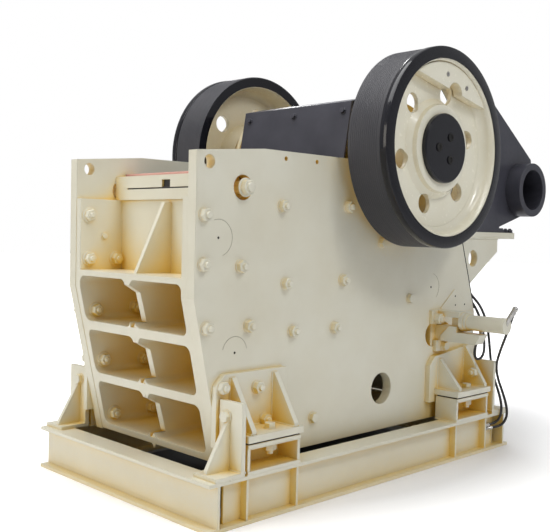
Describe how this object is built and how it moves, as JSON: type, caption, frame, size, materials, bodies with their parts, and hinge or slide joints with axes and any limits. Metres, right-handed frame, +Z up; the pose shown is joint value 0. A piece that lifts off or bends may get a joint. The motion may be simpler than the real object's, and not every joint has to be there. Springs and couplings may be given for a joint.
{
  "type": "jaw crusher",
  "caption": "Single-toggle jaw crusher on a welded base frame: ribbed front casting, pitman, belt wheels, hydraulic wedges and rear motor base.",
  "frame": {"origin": "on the ground under the middle of the machine's overall box, without its hoses", "axes": "+Z up, -Y towards the feed end and front casting, +X along the shaft towards the belt wheel on the right"},
  "size_m": [1.8208, 2.6939, 2.052],
  "materials": {
    "cream_paint": "gloss cream machine enamel over plate and casting",
    "wheel_cream": "cream enamel in the dishes of the belt wheels, black on their rims",
    "black_paint": "blue-black gloss enamel",
    "manganese_steel": "as-cast manganese steel wear parts",
    "machined_steel": "oiled machined steel",
    "black_rubber": "black rubber",
    "zinc_fitting": "zinc plated steel"
  },
  "bodies": {
    "frame": {"base_beam_front": "cream_paint", "base_beam_left": "cream_paint", "base_beam_rear": "cream_paint", "base_beam_right": "cream_paint", "bearing_housing_left": "cream_paint", "bearing_housing_right": "cream_paint", "cheek_liner_left": "manganese_steel", "cheek_liner_right": "manganese_steel", "clamp_beam": "cream_paint", "clamp_rod": "machined_steel", "cylinder_bracket_left": "cream_paint", "cylinder_bracket_right": "cream_paint", "fixed_jaw_die": "manganese_steel", "foot_front_left": "cream_paint", "foot_front_right": "cream_paint", "foot_rear_left": "cream_paint", "foot_rear_right": "cream_paint", "front_frame": "cream_paint", "hose_cap_left": "black_rubber", "hose_cap_right": "black_rubber", "hose_fittings": "zinc_fitting", "hose_rod_left": "black_rubber", "hose_rod_right": "black_rubber", "hose_supply_right": "black_rubber", "motor_base": "black_paint", "motor_bracket": "cream_paint", "motor_tube": "black_paint", "pedestal_front_left": "cream_paint", "pedestal_front_right": "cream_paint", "pedestal_rear_left": "cream_paint", "pedestal_rear_right": "cream_paint", "rear_frame": "cream_paint", "rubber_pads": "black_rubber", "side_plate_left": "cream_paint", "side_plate_right": "cream_paint", "stops_front": "cream_paint", "stops_rear": "cream_paint", "toggle_plate": "manganese_steel", "toggle_seat": "machined_steel", "toggle_wedges": "machined_steel", "wedge_cylinder_left": "cream_paint", "wedge_cylinder_right": "cream_paint"},
    "rotor": {"eccentric_shaft": "machined_steel", "flywheel_rim_right": "wheel_cream", "flywheel_rim_left": "wheel_cream", "flywheel_hub_right": "wheel_cream", "flywheel_hub_left": "wheel_cream", "hub_caps": "black_paint", "counterweight_right": "cream_paint", "counterweight_left": "cream_paint"},
    "swing_jaw": {"pitman": "cream_paint", "pitman_barrel": "cream_paint", "moving_jaw_die": "manganese_steel", "pitman_guard": "black_paint"}
  },
  "joints": [
    {"name": "shaft_spin", "type": "hinge", "parent": "frame", "child": "rotor", "pos_m": [0, -0.011, 1.577], "axis": [1, 0, 0], "continuous": true},
    {"name": "pitman_swing", "type": "hinge", "parent": "frame", "child": "swing_jaw", "pos_m": [0, -0.011, 1.577], "axis": [1, 0, 0], "range_deg": [-0.6, 0.6]}
  ]
}
